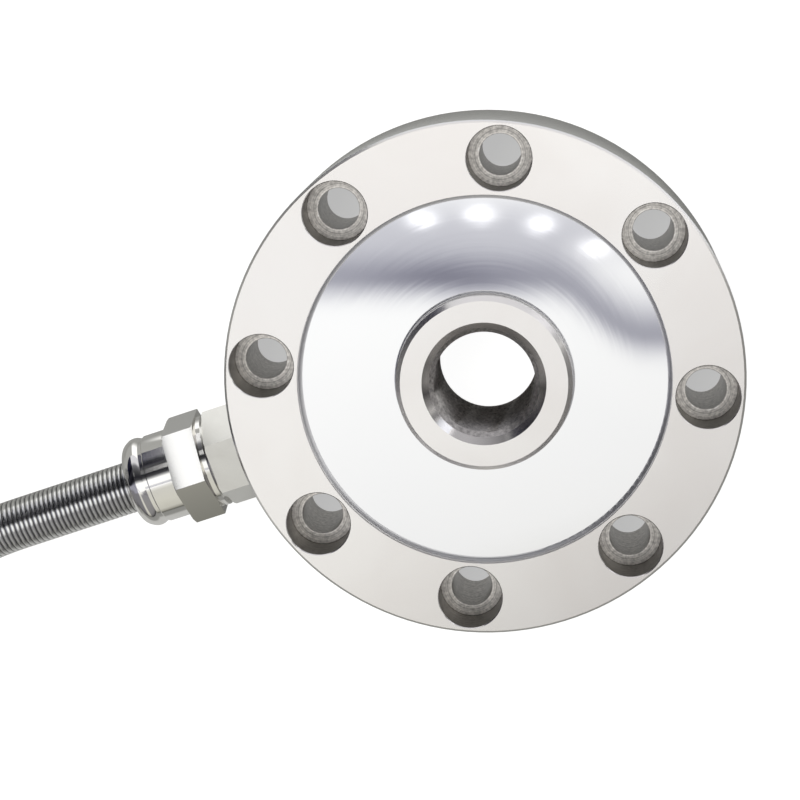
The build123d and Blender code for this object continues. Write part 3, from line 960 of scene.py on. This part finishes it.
def buildSky():
    world = bpy.data.worlds.new("studioSky")
    bpy.context.scene.world = world
    world.use_nodes = True
    tree = world.node_tree
    tree.nodes.clear()
    way = tree.nodes.new("ShaderNodeTexCoord").outputs["Generated"]
    up = radians(studio["upAngle"])

    def along(direction):
        made = addNode(tree, "ShaderNodeVectorMath", operation="DOT_PRODUCT")
        feed(tree, made.inputs[0], way)
        feed(tree, made.inputs[1], direction)
        return made.outputs["Value"]

    upShare = along((cos(up), sin(up), 0.0))
    rightShare = along((sin(up), -cos(up), 0.0))
    zenith = along((0.0, 0.0, 1.0))
    forward = along((0.0, 1.0, 0.0))
    angle = calc(tree, "ARCTAN2", forward, zenith)
    degree = calc(tree, "DEGREES", angle)
    sideways = along((1.0, 0.0, 0.0))
    skyTone = toneRamp(tree, degree, studio["sky"])
    for card in studio["cards"]:
        inCard = product(tree, within(tree, sideways, *card["x"]), within(tree, degree, *card["angle"]))
        skyTone = mixColour(tree, inCard, skyTone, rgba(*[card["glow"]] * 3))

    # the dark band that the polished cover shows, placed by slopes from overhead
    band = studio["band"]
    height = calc(tree, "MAXIMUM", zenith, 0.2)
    upSlope = calc(tree, "DIVIDE", upShare, height)
    rightSlope = calc(tree, "DIVIDE", rightShare, height)
    sink = product(tree, edgeMask(tree, rightSlope, band["start"], band["end"]), band["sink"])
    centre = total(tree, sink, band["up"])
    over = calc(tree, "SUBTRACT", upSlope, centre)
    below, above = band["half"]
    half = spread(tree, calc(tree, "GREATER_THAN", over, 0.0), below, above)
    core = band["core"]
    depth = bell(tree, calc(tree, "SUBTRACT", rightSlope, core["right"]), core["half"])
    depth = total(tree, product(tree, depth, core["dark"]), band["dark"])
    keep = opposite(tree, product(tree, bell(tree, over, half), depth))
    veil = studio["veil"]
    faint = bell(tree, calc(tree, "SUBTRACT", upSlope, veil["up"]), veil["half"])
    keep = product(tree, keep, opposite(tree, product(tree, faint, veil["dark"])))
    for dim in studio["dims"]:
        reached = product(tree, edgeMask(tree, degree, *dim["angle"]),
                          edgeMask(tree, sideways, *dim["x"]))
        keep = product(tree, keep, opposite(tree, product(tree, reached, 1 - dim["left"])))
    keepTone = addNode(tree, "ShaderNodeCombineColor", {
        "Red": keep, "Green": keep, "Blue": calc(tree, "POWER", keep, studio["dimBlue"])})
    tone = mixColour(tree, 1.0, skyTone, keepTone.outputs[0], blend="MULTIPLY")

    # the lamps that it shows above the band
    wide, tall = studio["spotHalf"]
    lamps = [
        product(tree, bell(tree, calc(tree, "SUBTRACT", rightSlope, right), wide),
                bell(tree, calc(tree, "SUBTRACT", upSlope, upward), tall))
        for right, upward in studio["spots"]
    ]
    glow = product(tree, total(tree, *lamps), studio["spotGain"])
    glowTone = addNode(tree, "ShaderNodeCombineColor", {"Red": glow, "Green": glow, "Blue": glow})
    tone = mixColour(tree, 1.0, tone, glowTone.outputs[0], blend="ADD")
    shine = addNode(tree, "ShaderNodeBackground", {"Color": tone, "Strength": 1.0})
    output = tree.nodes.new("ShaderNodeOutputWorld")
    tree.links.new(shine.outputs[0], output.inputs[0])


def buildFloor():
    half = studio["floorSide"] / 2
    corners = [(-half, -half, 0), (half, -half, 0), (half, half, 0), (-half, half, 0)]
    mesh = bpy.data.meshes.new("studioFloor")
    mesh.from_pydata(corners, [], [(0, 1, 2, 3)])
    made, tree, shader, where = newFinish("floorPaint", 0.0, 0.9, studio["floorColour"])
    shader.inputs["Specular IOR Level"].default_value = 0.0
    shader.inputs["Emission Color"].default_value = rgba(1.0, 1.0, 1.0)
    # seen directly the floor is white; mirrored in the metal it is a duller grey
    x, y, _ = partsOf(tree, where)
    radius = offAxis(tree, x, y)
    low, high = studio["floorShade"]
    soft = studio["floorShadeSoft"]
    underRing = product(tree, edgeMask(tree, radius, low - soft, low + soft),
                        calc(tree, "LESS_THAN", radius, high))
    glow = spread(tree, underRing, studio["floorGlow"], studio["floorShadeGlow"])
    ray = tree.nodes.new("ShaderNodeLightPath")
    direct = product(tree, glow, ray.outputs["Is Camera Ray"])
    places = studio["mirrorGlow"]
    mirrored = places[0][1]
    for (start, before), (end, after) in zip(places, places[1:]):
        mirrored = total(tree, mirrored, product(tree, edgeMask(tree, y, start, end), after - before))
    shade = studio["glandShade"]
    hidden = product(tree, edgeMask(tree, x, *shade["x"]), edgeMask(tree, y, *shade["y"]))
    hidden = opposite(tree, product(tree, hidden, 1 - shade["left"]))
    clear = product(tree, edgeMask(tree, radius, *studio["contactShade"]), hidden)
    hole = studio["holeGlow"]
    underHole = within(tree, radius, hole["from"], hole["to"])
    mirrored = total(tree, product(tree, mirrored, clear), studio["mirrorBase"],
                     product(tree, underHole, hole["glow"]))
    mirrored = product(tree, mirrored, ray.outputs["Is Glossy Ray"])
    tree.links.new(total(tree, direct, mirrored), shader.inputs["Emission Strength"])
    mesh.materials.append(made)
    linkObject(bpy.data.objects.new("studioFloor", mesh))


def buildLamp():
    data = bpy.data.lights.new("floorLamp", "AREA")
    data.shape = "SQUARE"
    data.size = studio["lampSide"]
    data.energy = studio["lampPower"]
    lamp = linkObject(bpy.data.objects.new("floorLamp", data))
    lamp.location = studio["lampPlace"]
    lamp.rotation_euler = Vector(studio["lampPlace"]).to_track_quat("Z", "Y").to_euler()
    lamp.visible_glossy = False  # the metal mirrors the sky alone


buildSky()
buildFloor()
buildLamp()
bpy.context.scene.view_settings.view_transform = "Standard"
print("studio ready")
